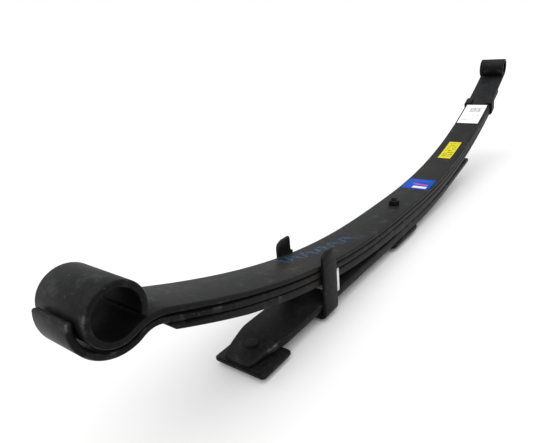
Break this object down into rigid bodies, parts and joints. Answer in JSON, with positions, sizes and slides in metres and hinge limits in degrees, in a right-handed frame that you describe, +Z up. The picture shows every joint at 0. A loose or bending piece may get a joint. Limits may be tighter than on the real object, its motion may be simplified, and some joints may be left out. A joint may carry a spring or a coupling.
{
  "type": "leaf spring",
  "caption": "Arched multi-leaf vehicle spring with a rolled eye at each end, a wrap round the front eye, a straight overload leaf, rebound clips and a centre bolt.",
  "frame": {"origin": "middle of the flat end of the centre bolt's locating head, under the seat", "axes": "+X along the spring towards the rear eye, +Y across the leaves, +Z up out of the concave side"},
  "size_m": [1.2674, 0.07, 0.2579],
  "materials": {
    "black_paint": "satin black paint, a little dusty",
    "zinc_plate": "bright zinc plate",
    "shim_steel": "dark oiled steel",
    "pad_plastic": "matt black plastic",
    "blue_label": "printed blue film",
    "yellow_label": "printed yellow film",
    "white_label": "white paper label"
  },
  "bodies": {
    "root": {"centre_bolt": "black_paint", "centre_nut": "black_paint", "centre_plate": "black_paint", "clip_liner": "zinc_plate", "front_clip": "black_paint", "front_clip_rivet": "black_paint", "label_blue": "blue_label", "label_white": "white_label", "label_yellow": "yellow_label", "main_leaf": "black_paint", "overload_leaf": "black_paint", "overload_pad": "black_paint", "pad_rivet": "black_paint", "rear_clip": "black_paint", "rear_clip_rivet": "black_paint", "seat_shim_1": "shim_steel", "seat_shim_2": "shim_steel", "seat_shim_3": "shim_steel", "second_leaf": "black_paint", "second_rear_tip_pad": "pad_plastic", "third_front_tip_pad": "pad_plastic", "third_leaf": "black_paint", "third_rear_tip_pad": "pad_plastic"}
  },
  "joints": []
}
